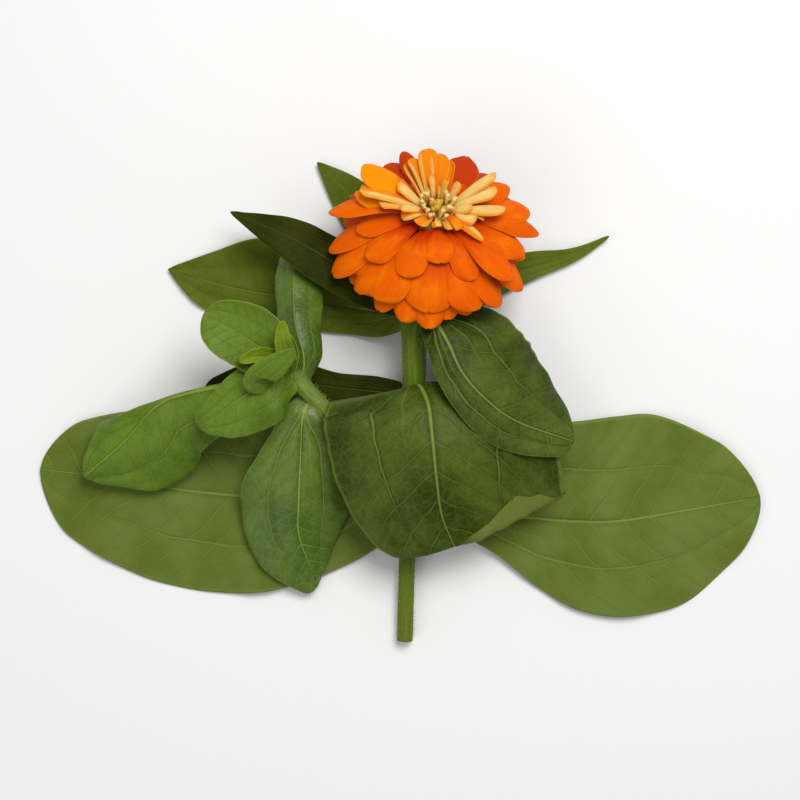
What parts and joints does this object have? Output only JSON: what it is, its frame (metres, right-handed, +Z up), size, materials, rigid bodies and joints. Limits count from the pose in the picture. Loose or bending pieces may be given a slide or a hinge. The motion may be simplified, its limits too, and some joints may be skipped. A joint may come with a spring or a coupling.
{
  "type": "picked zinnia flower",
  "caption": "Picked zinnia lying on a surface: a double orange bloom with a pale quilled middle on a cut green stem with broad leaves and a leafy side shoot.",
  "frame": {"origin": "centre of the box round the whole flower, on the surface it lies on", "axes": "+Z up from the surface, +Y along the stem from its cut end towards the bloom, +X across the stem, along the longest side"},
  "size_m": [0.263, 0.1778, 0.0468],
  "materials": {
    "ray_orange": "matte",
    "young_ray_cream": "matte",
    "disc_yellow": "matte",
    "stem_green": "matte",
    "leaf_green": "satin",
    "shoot_green": "satin"
  },
  "bodies": {
    "root": {"ray_florets": "ray_orange", "inner_ray_florets": "young_ray_cream", "disc_florets": "disc_yellow", "involucre": "stem_green", "stem": "stem_green", "side_shoot": "shoot_green", "leaf_front": "leaf_green", "leaf_right_front": "leaf_green", "leaf_left_high": "leaf_green", "leaf_left_low": "leaf_green", "leaf_right_low": "leaf_green", "leaf_back_high": "leaf_green", "leaf_left_middle": "leaf_green", "leaf_right_large": "leaf_green", "leaf_left_large": "leaf_green"}
  },
  "joints": []
}
